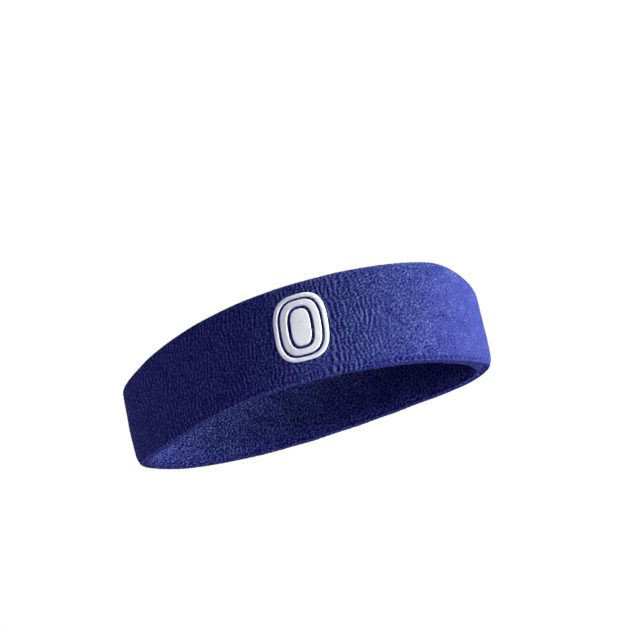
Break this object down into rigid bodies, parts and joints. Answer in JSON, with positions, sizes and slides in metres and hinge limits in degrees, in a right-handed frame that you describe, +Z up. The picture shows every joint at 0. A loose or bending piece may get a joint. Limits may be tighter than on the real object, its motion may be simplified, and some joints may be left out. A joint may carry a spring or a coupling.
{
  "type": "sports headband",
  "caption": "Stretch terry headband: a wide, soft loop folded double, worn round the forehead to keep sweat and hair off the face, with a small embroidered oval badge.",
  "frame": {"origin": "middle of the bounding box's floor, on the surface the band stands on, at the lower rim", "axes": "+Z up through the head opening, from the seamed lower rim to the folded upper rim; +X along the relaxed loop's long axis; -Y towards the front, where the badge is"},
  "size_m": [0.179, 0.093, 0.05],
  "materials": {
    "terry": "royal blue terry loops, matt",
    "seam_thread": "navy chain stitch, matt",
    "elastic": "yarn-covered elastic, matt",
    "embroidery": "white satin stitch, slight sheen",
    "backing": "white non-woven, matt"
  },
  "bodies": {
    "root": {"terry_tube": "terry", "linking_seam": "seam_thread", "elastic_thread_1": "elastic", "elastic_thread_2": "elastic", "elastic_thread_3": "elastic", "elastic_thread_4": "elastic", "elastic_thread_5": "elastic", "elastic_thread_6": "elastic", "embroidery_border": "embroidery", "embroidery_ring": "embroidery", "embroidery_centre": "embroidery", "embroidery_backing": "backing"}
  },
  "joints": []
}
